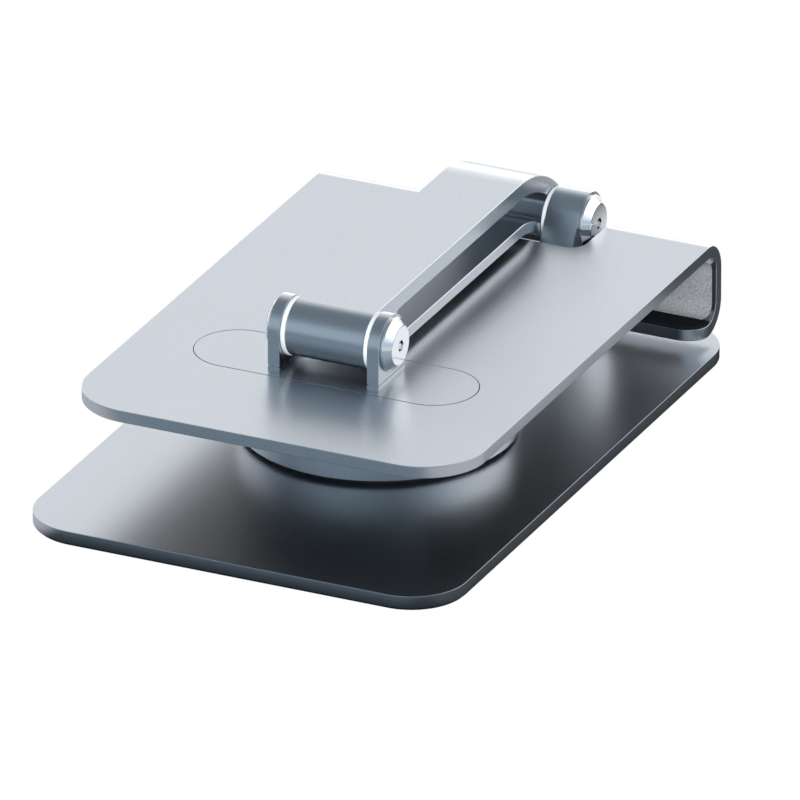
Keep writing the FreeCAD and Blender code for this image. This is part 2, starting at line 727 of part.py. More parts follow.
def pieces():
    return {
        "base_plate": [make_base_plate()],
        "base_pad": [make_base_pad()],
        "pivot_post": [make_pivot_post()],
        "post_screws": make_post_screws(),
        "glide_ring": [make_glide_ring()],
        "pivot_washer": [make_pivot_washer()],
        "pivot_nut": [make_pivot_nut()],
        "turntable": [make_turntable()],
        "turntable_bush": [make_turntable_bush()],
        "pivot_cover": [make_pivot_cover()],
        "bracket": [make_bracket()],
        "bracket_screws": make_bracket_screws(),
        "far_pin": [hinge_pin(-ear_outer, far_ear_outer, far_y, far_z)],
        "far_cap": [hinge_cap(far_ear_outer, far_y, far_z)],
        "far_end_cap": [hinge_end_cap(-ear_outer, far_y, far_z)],
        "far_washers": hinge_washers(far_y, far_z),
        "far_springs": disc_springs(far_ear_outer - SPRING_POCKET + SPRING_END_PLAY, far_y, far_z),
        "arm": [make_arm()],
        "far_bushes": make_far_bushes(),
        "near_bushes": make_near_bushes(),
        "near_springs": make_near_springs(),
        "platform": [make_platform()],
        "hinge_insert": [make_hinge_insert()],
        "ear_left": [make_ear(-1)],
        "ear_right": [make_ear(1)],
        "ear_screws": [ear_screw(x, y) for x, y in ear_screw_places()],
        "insert_screws": [insert_screw(x, y) for x, y in insert_screw_places()],
        "near_pin": [hinge_pin(-ear_outer, ear_outer, near_y, near_z)],
        "near_cap": [hinge_cap(ear_outer, near_y, near_z)],
        "near_end_cap": [hinge_end_cap(-ear_outer, near_y, near_z)],
        "near_washers": hinge_washers(near_y, near_z),
        "hook_pad_left": [make_hook_pad(-1)],
        "hook_pad_right": [make_hook_pad(1)],
        "lip_pad_left": [make_lip_pad(-1)],
        "lip_pad_right": [make_lip_pad(1)],
        "rest_pad": [make_rest_pad()],
    }


def main():
    os.makedirs("parts", exist_ok=True)
    for name, solids in pieces().items():
        shape = solids[0] if len(solids) == 1 else Part.makeCompound(solids)
        shape.exportStep(f"parts/{name}.step")
        box = shape.BoundBox
        print(f"{name:16s} solids {len(shape.Solids)} volume {shape.Volume:10.1f} valid {shape.isValid()} "
              f"x {box.XMin:7.1f} {box.XMax:7.1f} y {box.YMin:7.1f} {box.YMax:7.1f} "
              f"z {box.ZMin:6.1f} {box.ZMax:6.1f}")


main()
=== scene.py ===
import math

import bmesh
import bpy
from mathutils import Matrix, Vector


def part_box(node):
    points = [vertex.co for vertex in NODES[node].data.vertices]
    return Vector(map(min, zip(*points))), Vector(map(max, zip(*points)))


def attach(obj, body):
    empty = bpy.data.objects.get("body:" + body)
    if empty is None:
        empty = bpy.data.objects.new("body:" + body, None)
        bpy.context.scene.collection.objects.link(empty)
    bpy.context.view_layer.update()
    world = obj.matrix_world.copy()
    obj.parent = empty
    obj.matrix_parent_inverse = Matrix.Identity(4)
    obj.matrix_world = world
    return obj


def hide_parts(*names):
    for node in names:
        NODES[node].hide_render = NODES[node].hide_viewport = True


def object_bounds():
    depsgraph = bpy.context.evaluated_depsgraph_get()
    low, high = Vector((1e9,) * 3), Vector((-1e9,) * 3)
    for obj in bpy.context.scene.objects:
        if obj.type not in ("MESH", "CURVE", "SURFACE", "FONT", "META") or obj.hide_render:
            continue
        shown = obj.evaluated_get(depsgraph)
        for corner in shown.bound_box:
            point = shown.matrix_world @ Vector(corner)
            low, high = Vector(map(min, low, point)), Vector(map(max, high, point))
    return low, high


# Folding laptop stand of bead-blasted aluminium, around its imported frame. Metres.
# X: width, Y: away from the user, Z: up. The floor is at zero.

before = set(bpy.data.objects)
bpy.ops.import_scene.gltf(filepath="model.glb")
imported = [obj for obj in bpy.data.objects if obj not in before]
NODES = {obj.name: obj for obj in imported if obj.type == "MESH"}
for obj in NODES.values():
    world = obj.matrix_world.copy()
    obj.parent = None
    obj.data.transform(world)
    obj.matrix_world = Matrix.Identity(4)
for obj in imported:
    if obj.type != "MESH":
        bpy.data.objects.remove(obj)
cad_low, cad_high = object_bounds()

MM = 0.001
X, Y, Z = 0, 1, 2

# ---- sizes that the frame's boxes don't give ---------------------------------------------------

BASE_CORNER = 22.0 * MM
FOOT_CORNER = 20.8 * MM
BASE_RIM = 0.15 * MM
BASE_LOWER_RIM = 0.5 * MM
POST_HOLE = 8.05 * MM
FLANGE_HOLE = 20.05 * MM
FLANGE_DEPTH = 2.5 * MM
FOOT_RIM = 0.3 * MM

PLATE = 4.65 * MM
PLATE_CORNER = 24.6 * MM
CURL_RADIUS = 12.0 * MM
LIP_LENGTH = 19.5 * MM
LIP_CORNER = 10.0 * MM
NOTCH_HALF_WIDTH = 37.2 * MM
NOTCH_DEPTH = 33.0 * MM
NOTCH_CORNER = 6.0 * MM
INSERT_SEAM = 0.25 * MM
PLATE_RIM = 0.25 * MM
SEAM_RIM = 0.12 * MM

EAR_RIM = 0.25 * MM
EAR_FOOT = 1.1 * MM
EAR_GROOVE = 0.4 * MM
PIN_HOLE = 3.55 * MM
CAP_FACE_RADIUS = 7.4 * MM
CAP_BAND = 0.9 * MM
CAP_EDGE = 0.25 * MM
SOCKET_RADIUS = 2.31 * MM
SOCKET_DEPTH = 2.0 * MM
END_CAP_STEP = 1.25 * MM
CAP_HEIGHT = 3.7 * MM
WASHER_THICKNESS = 1.7 * MM
WASHER_EDGE = 0.35 * MM
REST_PAD_CORNER = 16.6 * MM
LIP_PAD_RIM = 0.25 * MM
REST_PAD_RIM = 0.4 * MM
HOOK_PAD_RIM = 0.5 * MM
PAD_END_BAND = 0.25 * MM
BRACKET_RIM = 0.3 * MM
SCREW_STEM = 1.55 * MM
EAR_SCREW_Y = 6.5 * MM
INSERT_SCREW_X = 40.0 * MM
INSERT_SCREW_Y = 9.0 * MM

# How finely round shapes are divided
CORNER_STEPS = 24
ROUND_STEPS = 96
COUNTERSINK_STEPS = 32
SOCKET_SIDES = 6
BASE_RIM_STEPS = 5
RIM_STEPS = 3
SOFT_STEPS = 2

# Angles that tell smooth, sharp and flat edges apart, and the pull of large faces on the shading
SMOOTH_ANGLE = math.radians(32)
SHARP_ANGLE = math.radians(40)
FLAT_ANGLE = math.radians(0.5)
FACE_WEIGHT = 80

# How near two places or two directions must be to count as one
CLOSE = 1e-6
SEAM_CLOSE = 5 * CLOSE
ON_LEVEL = 1e-5
ALONG_AXIS = 1e-3
FACING = 0.9

# ---- small modelling helpers -------------------------------------------------------------------


def select_only(piece):
    if bpy.context.object and bpy.context.object.mode == "EDIT":
        bpy.ops.object.mode_set(mode="OBJECT")
    bpy.ops.object.select_all(action="DESELECT")
    piece.select_set(True)
    bpy.context.view_layer.objects.active = piece


def start_edit(piece):
    select_only(piece)
    bpy.ops.object.mode_set(mode="EDIT")
    bpy.ops.mesh.select_all(action="DESELECT")


def end_edit():
    bpy.ops.object.mode_set(mode="OBJECT")


def pick(kind, test):
    """Selects only the edges or faces of the piece being edited for which test() is true."""
    bpy.ops.mesh.select_mode(type=kind)
    bpy.ops.mesh.select_all(action="DESELECT")
    mesh = bmesh.from_edit_mesh(bpy.context.object.data)
    for item in mesh.edges if kind == "EDGE" else mesh.faces:
        if test(item):
            item.select_set(True)
    mesh.select_flush_mode()
    bmesh.update_edit_mesh(bpy.context.object.data)


def edge_middle(edge):
    return (edge.verts[0].co + edge.verts[1].co) / 2


def runs_along(edge, axis):
    way = edge.verts[1].co - edge.verts[0].co
    return abs(abs(way.normalized()[axis]) - 1) < ALONG_AXIS


def on_level(edge, axis, place):
    return all(abs(v.co[axis] - place) < ON_LEVEL for v in edge.verts)


def faces(axis, way):
    """A test for faces that point along an axis, forwards for 1 and backwards for -1."""
    return lambda face: face.normal[axis] * way > FACING


def round_picked(radius, steps):
    bpy.ops.mesh.bevel(offset=radius, offset_type="OFFSET", segments=steps, affect="EDGES",
                       clamp_overlap=False)


def add_block(name, low, high):
    """A block between two corners, with its place in its mesh."""
    low, high = Vector(low), Vector(high)
    bpy.ops.mesh.primitive_cube_add(size=1, location=(low + high) / 2, scale=high - low)
    return placed(name)


def add_rod(name, radius, start, end, axis, sides=ROUND_STEPS):
    """A round or many-sided rod between two places on an axis through start."""
    start, end = Vector(start), Vector(end)
    turn = (0, math.pi / 2, 0) if axis == X else (0, 0, 0)
    bpy.ops.mesh.primitive_cylinder_add(vertices=sides, radius=radius, depth=(end - start).length,
                                        location=(start + end) / 2, rotation=turn)
    return placed(name)


def placed(name):
    piece = bpy.context.object
    piece.name = name
    bpy.ops.object.transform_apply(location=True, rotation=True, scale=True)
    return piece


def round_upright(piece, radius, test=lambda middle: True):
    """Rounds the upright edges for whose middle test() is true."""
    start_edit(piece)
    pick("EDGE", lambda e: runs_along(e, Z) and test(edge_middle(e)))
    round_picked(radius, CORNER_STEPS)
    end_edit()


def round_rim(piece, axis, place, radius, steps=RIM_STEPS):
    """Rounds every edge that lies on one level of an axis."""
    start_edit(piece)
    pick("EDGE", lambda e: on_level(e, axis, place))
    round_picked(radius, steps)
    end_edit()


def use_modifier(piece, kind, **settings):
    select_only(piece)
    modifier = piece.modifiers.new(kind.lower(), kind)
    for name, value in settings.items():
        setattr(modifier, name, value)
    bpy.ops.object.modifier_apply(modifier=modifier.name)


def cut_away(piece, tool):
    use_modifier(piece, "BOOLEAN", operation="DIFFERENCE", solver="EXACT", object=tool)
    bpy.data.objects.remove(tool)


def soften_sharp_edges(piece, width, steps=SOFT_STEPS):
    use_modifier(piece, "BEVEL", width=width, segments=steps, limit_method="ANGLE", angle_limit=SHARP_ANGLE,
                 harden_normals=False, use_clamp_overlap=True, miter_outer="MITER_ARC")


def smooth(piece):
    select_only(piece)
    bpy.ops.object.shade_smooth_by_angle(angle=SMOOTH_ANGLE)
    use_modifier(piece, "WEIGHTED_NORMAL", keep_sharp=True, weight=FACE_WEIGHT)


def merged_copy(node, name):
    """A copy of a frame node with its loose triangles joined and its flat faces made whole."""
    source = NODES[node]
    piece = bpy.data.objects.new(name, source.data.copy())
    bpy.context.scene.collection.objects.link(piece)
    piece.data.materials.clear()
    select_only(piece)
    bpy.ops.mesh.customdata_custom_splitnormals_clear()
    bpy.ops.object.mode_set(mode="EDIT")
    bpy.ops.mesh.select_all(action="SELECT")
    bpy.ops.mesh.remove_doubles(threshold=CLOSE)
    bpy.ops.mesh.dissolve_limited(angle_limit=FLAT_ANGLE)
    end_edit()
    return piece


def middle_of(node):
    low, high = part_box(node)
    return (low + high) / 2


# ---- shaders -----------------------------------------------------------------------------------

# The fine skin: its usual grain, its coarser dimples and its broad patches of gloss
GRAIN = 0.6 * MM
FINE_DETAIL = 2.0
COARSE_SHARE = 0.37
COARSE_HEIGHT = 0.6
COARSE_DETAIL = 1.0
GLOSS_PATCHES = 22.0
GLOSS_DETAIL = 3.0
SPECK_STOPS = (0.3, 0.7)

# Turned chrome, and the dark colour put on a grey pad's two ends
TURNED_SHADE = 0.94
CHROME = (0.93, 0.935, 0.945)
CHROME_GLOSS = (0.04, 0.10)
LATHE_PITCH = 0.35 * MM
LATHE_DEPTH = 0.0008 * MM
PAD_END_DARK = (0.012, 0.013, 0.015)


def new_group(name, inputs, outputs):
    """A shader node group with number or vector sockets, and the nodes at its two ends."""
    group = bpy.data.node_groups.new(name, "ShaderNodeTree")
    for in_out, sockets in (("INPUT", inputs), ("OUTPUT", outputs)):
        for socket, kind in sockets:
            group.interface.new_socket(name=socket, in_out=in_out, socket_type=kind)
    return group, group.nodes.new("NodeGroupInput"), group.nodes.new("NodeGroupOutput")


def add_node(tree, kind, **settings):
    node = tree.nodes.new("ShaderNode" + kind)
    for name, value in settings.items():
        setattr(node, name, value)
    return node


def feed(tree, source, target):
    """Links a socket to another one, or sets the other one's value if source is a plain value."""
    if isinstance(source, bpy.types.NodeSocket):
        tree.links.new(source, target)
    else:
        target.default_value = source


def calculate(tree, operation, first, second=0.0):
    """A Math node. Either side is a socket or a number."""
    node = add_node(tree, "Math", operation=operation)
    feed(tree, first, node.inputs[0])
    feed(tree, second, node.inputs[1])
    return node.outputs[0]


def noise(tree, vector, scale, detail):
    node = add_node(tree, "TexNoise")
    feed(tree, vector, node.inputs["Vector"])
    feed(tree, scale, node.inputs["Scale"])
    feed(tree, detail, node.inputs["Detail"])
    return node.outputs["Fac"]


def blend_colours(tree, factor, first, second):
    """A mix of two colours, each a socket or a plain colour: all first at 0, all second at 1."""
    node = add_node(tree, "Mix", data_type="RGBA")
    feed(tree, factor, node.inputs["Factor"])
    feed(tree, first, node.inputs[6])
    feed(tree, second, node.inputs[7])
    return node.outputs[2]


def ease(tree, value, start, end):
    """0 up to start and 1 from end on, with a smooth step between them."""
    node = add_node(tree, "MapRange", interpolation_type="SMOOTHSTEP")
    feed(tree, value, node.inputs["Value"])
    feed(tree, start, node.inputs["From Min"])
    feed(tree, end, node.inputs["From Max"])
    return node.outputs["Result"]


def make_skin_group():
    """Fine dimples of a blasted or moulded skin, with broad faint variation in its gloss."""
    group, ins, outs = new_group(
        "fine_skin",
        [("Vector", "NodeSocketVector"), ("Grain", "NodeSocketFloat"),
         ("Low", "NodeSocketFloat"), ("High", "NodeSocketFloat")],
        [("Height", "NodeSocketFloat"), ("Roughness", "NodeSocketFloat"), ("Speck", "NodeSocketFloat")])
    place, grain, low, high = ins.outputs[:4]
    scale = calculate(group, "DIVIDE", 1.0, grain)
    fine = noise(group, place, scale, FINE_DETAIL)
    coarse = noise(group, place, calculate(group, "MULTIPLY", scale, COARSE_SHARE), COARSE_DETAIL)
    broad = noise(group, place, GLOSS_PATCHES, GLOSS_DETAIL)
    height = calculate(group, "ADD", fine, calculate(group, "MULTIPLY", coarse, COARSE_HEIGHT))
    spread = calculate(group, "SUBTRACT", high, low)
    rough = calculate(group, "ADD", low, calculate(group, "MULTIPLY", spread, broad))
    feed(group, height, outs.inputs["Height"])
    feed(group, rough, outs.inputs["Roughness"])
    feed(group, fine, outs.inputs["Speck"])
    return group


def make_turning_group():
    """Concentric tool marks about an axis along X, for turned faces."""
    group, ins, outs = new_group(
        "turning_marks", [("Vector", "NodeSocketVector"), ("Pitch", "NodeSocketFloat")],
        [("Height", "NodeSocketFloat")])
    split = add_node(group, "SeparateXYZ")
    feed(group, ins.outputs["Vector"], split.inputs[0])
    squares = [calculate(group, "MULTIPLY", split.outputs[k], split.outputs[k]) for k in ("Y", "Z")]
    radius = calculate(group, "SQRT", calculate(group, "ADD", *squares))
    rings = calculate(group, "DIVIDE", radius, ins.outputs["Pitch"])
    wave = calculate(group, "SINE", calculate(group, "MULTIPLY", rings, 2 * math.pi))
    feed(group, wave, outs.inputs["Height"])
    return group


FINE_SKIN = make_skin_group()
TURNING = make_turning_group()


def start_material(name, metallic, ior=1.5):
    material = bpy.data.materials.new(name)
    material.use_nodes = True
    tree = material.node_tree
    shader = tree.nodes["Principled BSDF"]
    shader.inputs["Metallic"].default_value = metallic
    shader.inputs["IOR"].default_value = ior
    place = add_node(tree, "TexCoord").outputs["Object"]
    return material, tree, shader, place


def add_skin(tree, place, grain, gloss):
    """The fine skin's node, for a grain size and a range of roughness."""
    skin = add_node(tree, "Group", node_tree=FINE_SKIN)
    feed(tree, place, skin.inputs["Vector"])
    for socket, value in (("Grain", grain), ("Low", gloss[0]), ("High", gloss[1])):
        feed(tree, value, skin.inputs[socket])
    return skin


def colour_speckle(tree, skin, shader, stops, dark, light):
    """Colours a material between two shades by the skin's speckle."""
    ramp = add_node(tree, "ValToRGB")
    for element, stop, colour in zip(ramp.color_ramp.elements, stops, (dark, light)):
        element.position = stop
        element.color = (*colour, 1)
    feed(tree, skin.outputs["Speck"], ramp.inputs["Fac"])
    feed(tree, ramp.outputs["Color"], shader.inputs["Base Color"])


def add_bump(tree, height, depth, shader):
    bump = add_node(tree, "Bump")
    feed(tree, depth, bump.inputs["Distance"])
    feed(tree, height, bump.inputs["Height"])
    feed(tree, bump.outputs["Normal"], shader.inputs["Normal"])


def skin_material(name, dark, light, grain, gloss, depth, metallic=0.0, ior=1.5):
    """A solid colour with a fine skin: speckle between two shades, dimples and uneven gloss."""
    material, tree, shader, place = start_material(name, metallic, ior)
    skin = add_skin(tree, place, grain, gloss)
    colour_speckle(tree, skin, shader, SPECK_STOPS, dark, light)
    feed(tree, skin.outputs["Roughness"], shader.inputs["Roughness"])
    add_bump(tree, skin.outputs["Height"], depth, shader)
    return material


def darken_pad_ends(material, dark, reach):
    """Makes a pad dark at its two ends along X, further out than reach to either side."""
    tree = material.node_tree
    colour = tree.nodes["Principled BSDF"].inputs["Base Color"]
    way = add_node(tree, "SeparateXYZ")
    feed(tree, add_node(tree, "TexCoord").outputs["Object"], way.inputs[0])
    cut = ease(tree, calculate(tree, "ABSOLUTE", way.outputs["X"]), reach - PAD_END_BAND, reach)
    feed(tree, blend_colours(tree, cut, colour.links[0].from_socket, (*dark, 1)), colour)


def turned_material(name, colour, gloss, centre, pitch, depth):
    """Turned metal: fine rings about a hinge axis through centre."""
    material, tree, shader, place = start_material(name, 1.0)
    shift = add_node(tree, "Mapping")
    feed(tree, -centre, shift.inputs["Location"])
    feed(tree, place, shift.inputs["Vector"])
    marks = add_node(tree, "Group", node_tree=TURNING)
    feed(tree, pitch, marks.inputs["Pitch"])
    feed(tree, shift.outputs["Vector"], marks.inputs["Vector"])
    skin = add_skin(tree, place, GRAIN, gloss)
    colour_speckle(tree, skin, shader, (0, 1), [TURNED_SHADE * c for c in colour], colour)
    feed(tree, skin.outputs["Roughness"], shader.inputs["Roughness"])
    add_bump(tree, marks.outputs["Height"], depth, shader)
    return material


near_axis = middle_of("near_pin")
far_axis = middle_of("far_pin")
ear_middle_x = middle_of("ear_right").x

aluminium = skin_material("bead_blasted_aluminium", (0.535, 0.56, 0.595), (0.605, 0.63, 0.665),
                          GRAIN, gloss=(0.27, 0.32), depth=0.016 * MM, metallic=1.0)
rubber = skin_material("black_rubber", (0.007, 0.008, 0.01), (0.013, 0.015, 0.018),
                       0.5 * MM, gloss=(0.6, 0.8), depth=0.04 * MM, ior=1.1)
silicone = skin_material("grey_silicone", (0.24, 0.245, 0.255), (0.42, 0.425, 0.44),
                         GRAIN, gloss=(0.55, 0.75), depth=0.05 * MM)
white_plastic = skin_material("white_plastic", (0.84, 0.85, 0.86), (0.92, 0.925, 0.93),
                              0.5 * MM, gloss=(0.3, 0.4), depth=0.01 * MM)
glide_plastic = skin_material("black_glide_plastic", (0.02, 0.02, 0.022), (0.035, 0.035, 0.038),
                              0.5 * MM, gloss=(0.35, 0.5), depth=0.01 * MM)
bronze = skin_material("sintered_bronze", (0.42, 0.25, 0.11), (0.58, 0.37, 0.18),
                       0.3 * MM, gloss=(0.3, 0.5), depth=0.02 * MM, metallic=1.0)
spring_steel = skin_material("blued_spring_steel", (0.20, 0.19, 0.20), (0.28, 0.28, 0.30),
                             GRAIN, gloss=(0.25, 0.4), depth=0.01 * MM, metallic=1.0)
screw_steel = skin_material("black_oxide_steel", (0.045, 0.045, 0.05), (0.075, 0.075, 0.08),
                            0.4 * MM, gloss=(0.3, 0.45), depth=0.01 * MM, metallic=1.0)
zinc = skin_material("zinc_plated_steel", (0.60, 0.61, 0.63), (0.70, 0.71, 0.73),
                     0.8 * MM, gloss=(0.2, 0.35), depth=0.01 * MM, metallic=1.0)
near_chrome = turned_material("polished_chrome_near", CHROME, CHROME_GLOSS, near_axis,
                              LATHE_PITCH, LATHE_DEPTH)
far_chrome = turned_material("polished_chrome_far", CHROME, CHROME_GLOSS, far_axis,
                             LATHE_PITCH, LATHE_DEPTH)
# The hook pads are darker in a thin band at their two ends, over their rounded edges
darken_pad_ends(silicone, PAD_END_DARK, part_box("hook_pad_right")[1].x - PAD_END_BAND)

SLOT_FINISH = {
    "anodised_aluminium": aluminium,
    "black_rubber": rubber,
    "grey_silicone": silicone,
    "white_plastic": white_plastic,
    "glide_plastic": glide_plastic,
    "zinc_steel": zinc,
    "screw_steel": screw_steel,
    "spring_steel": spring_steel,
    "bush_bronze": bronze,
    "polished_chrome": near_chrome,
}


def finish_of(node):
    slot = NODES[node].material_slots[0].name.split(".")[0]
    if slot == "polished_chrome" and node.startswith("far"):
        return far_chrome
    return SLOT_FINISH[slot]


CAD_FINISH = {node: finish_of(node) for node in NODES}
for node, holder in NODES.items():
    for slot in holder.material_slots:
        slot.material = CAD_FINISH[node]


def hand_over(piece, body, slot, *nodes):
    """A finished piece takes over from frame nodes: their finish and their body. The slot argument is not
    used.
    """
    piece.data.materials.clear()
    piece.data.materials.append(CAD_FINISH[nodes[0]])
    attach(piece, body)
    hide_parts(*nodes)


# ---- base --------------------------------------------------------------------------------------


def rounded_slab(name, low, high, corner, top_rim, bottom_rim, steps):
    """A plate with round corners, a rounded top rim and a rounded bottom rim."""
    piece = add_block(name, low, high)
    round_upright(piece, corner)
    round_rim(piece, Z, high.z, top_rim, steps)
    round_rim(piece, Z, low.z, bottom_rim, SOFT_STEPS)
    return piece


def make_base():
    low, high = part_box("base_plate")
    slab = rounded_slab("base_slab", low, high, BASE_CORNER, BASE_RIM, BASE_LOWER_RIM, BASE_RIM_STEPS)
    cut_away(slab, add_rod("post_hole", POST_HOLE, (0, 0, low.z - MM), (0, 0, high.z + MM), Z))
    cut_away(slab, add_rod("flange_hole", FLANGE_HOLE, (0, 0, low.z - MM), (0, 0, low.z + FLANGE_DEPTH), Z))
    smooth(slab)
    hand_over(slab, "base", "anodised_aluminium", "base_plate")

    low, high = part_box("base_pad")
    pad = rounded_slab("base_foot", low, high, FOOT_CORNER, FOOT_RIM, FOOT_RIM, SOFT_STEPS)
    smooth(pad)
    hand_over(pad, "base", "black_rubber", "base_pad")


# ---- platform ----------------------------------------------------------------------------------


def curled_plate(low, high):
    """The flat plate, then its far edge spun down, drawn out, spun under and drawn out into the lip."""
    bend_y = high.y - CURL_RADIUS
    piece = add_block("platform_shell", (low.x, low.y, high.z - PLATE), (high.x, bend_y, high.z))
    start_edit(piece)
    pick("FACE", faces(Y, 1))
    turns = [(high.z - CURL_RADIUS, (0, 0, -(high.z - low.z - 2 * CURL_RADIUS))),
             (low.z + CURL_RADIUS, (0, CURL_RADIUS - LIP_LENGTH, 0))]
    for centre_z, run in turns:
        bpy.ops.mesh.spin(steps=CORNER_STEPS, angle=math.pi / 2, center=(0, bend_y, centre_z),
                          axis=(1, 0, 0))
        bpy.ops.mesh.extrude_region_move(TRANSFORM_OT_translate={"value": run})
    bpy.ops.mesh.select_all(action="SELECT")
    bpy.ops.mesh.remove_doubles(threshold=CLOSE)
    bpy.ops.mesh.normals_make_consistent(inside=False)
    end_edit()
    return piece


def countersink(x, y, z, tip):
    """A tool for a countersunk hole that opens downwards at z and ends at tip."""
    bpy.ops.mesh.primitive_cone_add(vertices=COUNTERSINK_STEPS, radius1=2 * SCREW_STEM, radius2=SCREW_STEM,
                                    depth=SCREW_STEM, location=(x, y, z + SCREW_STEM / 2))
    cone = placed("countersink")
    start_edit(cone)
    pick("FACE", faces(Z, 1))
    bpy.ops.mesh.extrude_region_move(TRANSFORM_OT_translate={"value": (0, 0, tip - z - SCREW_STEM)})
    pick("FACE", faces(Z, -1))
    bpy.ops.mesh.extrude_region_move(TRANSFORM_OT_translate={"value": (0, 0, -MM)})
    end_edit()
    return cone


def cut_screw_holes(piece, screws, x, reach_y):
    """Four countersunk holes about the near hinge, as deep as a node's screws reach."""
    low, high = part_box(screws)
    for side in (-x, x):
        for y in (near_axis.y - reach_y, near_axis.y + reach_y):
            cut_away(piece, countersink(side, y, low.z, high.z + CLOSE))


def stadium(name, low, high):
    """A plate whose two ends are half circles."""
    piece = add_block(name, low, high)
    round_upright(piece, (high.y - low.y) / 2 - CLOSE)
    start_edit(piece)
    bpy.ops.mesh.select_all(action="SELECT")
    bpy.ops.mesh.remove_doubles(threshold=SEAM_CLOSE)
    end_edit()
    return piece


def make_platform():
    low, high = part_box("platform")
    shell = curled_plate(low, high)
    round_upright(shell, PLATE_CORNER, lambda m: m.y < low.y + MM)
    lip_y = high.y - LIP_LENGTH
    round_upright(shell, LIP_CORNER, lambda m: abs(m.y - lip_y) < MM and m.z < low.z + PLATE)
    notch = add_block("notch", (-NOTCH_HALF_WIDTH, high.y - NOTCH_DEPTH, low.z - MM),
                      (NOTCH_HALF_WIDTH, high.y + 2 * NOTCH_CORNER, high.z + MM))
    round_upright(notch, NOTCH_CORNER)
    cut_away(shell, notch)

    plate_low, plate_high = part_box("hinge_insert")
    gap = Vector((INSERT_SEAM, INSERT_SEAM, 0))
    pocket_high = plate_high + gap
    pocket_high.z += MM
    cut_away(shell, stadium("pocket", plate_low - gap, pocket_high))
    soften_sharp_edges(shell, PLATE_RIM, RIM_STEPS)
    cut_screw_holes(shell, "ear_screws", ear_middle_x, EAR_SCREW_Y)
    cut_screw_holes(shell, "insert_screws", INSERT_SCREW_X, INSERT_SCREW_Y)
    smooth(shell)
    hand_over(shell, "platform", "anodised_aluminium", "platform")

    plate = stadium("hinge_plate", plate_low, plate_high)
    round_rim(plate, Z, plate_high.z, SEAM_RIM, SOFT_STEPS)
    cut_screw_holes(plate, "ear_screws", ear_middle_x, EAR_SCREW_Y)
    cut_screw_holes(plate, "insert_screws", INSERT_SCREW_X, INSERT_SCREW_Y)
    smooth(plate)
    hand_over(plate, "platform", "anodised_aluminium", "hinge_insert")


def groove_tool(low, high):
    """A thin square ring round the foot of an ear."""
    out = Vector((MM, MM, 0))
    deep = Vector((EAR_GROOVE, EAR_GROOVE, 0))
    floor = Vector((0, 0, EAR_FOOT))
    rise = Vector((0, 0, EAR_FOOT + EAR_GROOVE))
    ring = add_block("groove", low - out + floor, Vector((high.x, high.y, low.z)) + out + rise)
    core = add_block("groove_core", low + deep, Vector((high.x, high.y, low.z)) - deep + 2 * rise)
    cut_away(ring, core)
    return ring


def make_ear(node):
    low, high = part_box(node)
    radius = (high.y - low.y) / 2
    ear = add_block(node + "_cheek", low, high)
    start_edit(ear)
    pick("EDGE", lambda e: runs_along(e, X) and edge_middle(e).z > high.z - MM)
    round_picked(radius - CLOSE, CORNER_STEPS * 2)
    bpy.ops.mesh.select_all(action="SELECT")
    bpy.ops.mesh.remove_doubles(threshold=SEAM_CLOSE)
    end_edit()
    for side in (low.x, high.x):
        start_edit(ear)
        pick("EDGE", lambda e: on_level(e, X, side) and edge_middle(e).z > low.z + CLOSE)
        round_picked(EAR_RIM, RIM_STEPS)
        end_edit()
    cut_away(ear, add_rod("pin_hole", PIN_HOLE, (low.x - MM, near_axis.y, near_axis.z),
                          (high.x + MM, near_axis.y, near_axis.z), X))
    cut_away(ear, groove_tool(low, high))
    screw_x = math.copysign(ear_middle_x, low.x)
    screw_low, screw_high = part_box("ear_screws")
    for y in (near_axis.y - EAR_SCREW_Y, near_axis.y + EAR_SCREW_Y):
        cut_away(ear, countersink(screw_x, y, screw_low.z, screw_high.z + CLOSE))
    smooth(ear)
    hand_over(ear, "platform", "anodised_aluminium", node)


def make_pads():
    low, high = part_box("rest_pad")
    sheet = add_block("rest_sheet", low, high)
    round_upright(sheet, REST_PAD_CORNER)
    round_rim(sheet, Z, low.z, REST_PAD_RIM)
    smooth(sheet)
    hand_over(sheet, "platform", "black_rubber", "rest_pad")
    for side in ("left", "right"):
        for node, name, rim, slot in (("hook_pad_", "hook_cushion_", HOOK_PAD_RIM, "grey_silicone"),
                                      ("lip_pad_", "lip_strip_", LIP_PAD_RIM, "black_rubber")):
            pad = merged_copy(node + side, name + side)
            soften_sharp_edges(pad, rim)
            smooth(pad)
            hand_over(pad, "platform", slot, node + side)


# ---- hinge hardware ----------------------------------------------------------------------------


def shrink_cap_face(outer, inner, centre):
    """Draws the picked end face in to a smaller circle."""
    share = inner / outer
    bpy.ops.transform.resize(value=(1, share, share), center_override=centre)


def make_cap(node, body, axis_point):
    """Cap screw with a cone, a broken edge and a six-sided socket, on the right."""
    low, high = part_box(node)
    radius = (high.z - low.z) / 2
    face = high.x
    seat = face - CAP_HEIGHT
    start = (seat, axis_point.y, axis_point.z)
    cap = add_rod(node + "_screw", radius, start, (seat + CAP_BAND, axis_point.y, axis_point.z), X)
    start_edit(cap)
    pick("FACE", faces(X, 1))
    bpy.ops.mesh.extrude_region_move(TRANSFORM_OT_translate={"value": (face - seat - CAP_BAND, 0, 0)})
    shrink_cap_face(radius, CAP_FACE_RADIUS, (face, axis_point.y, axis_point.z))
    pick("EDGE", lambda e: any(on_level(e, X, place) for place in (face, seat + CAP_BAND, seat)))
    round_picked(CAP_EDGE, RIM_STEPS)
    end_edit()
    cut_away(cap, add_rod("socket", SOCKET_RADIUS, (face - SOCKET_DEPTH, axis_point.y, axis_point.z),
                          (face + MM, axis_point.y, axis_point.z), X, SOCKET_SIDES))
    smooth(cap)
    hand_over(cap, body, "polished_chrome", node)


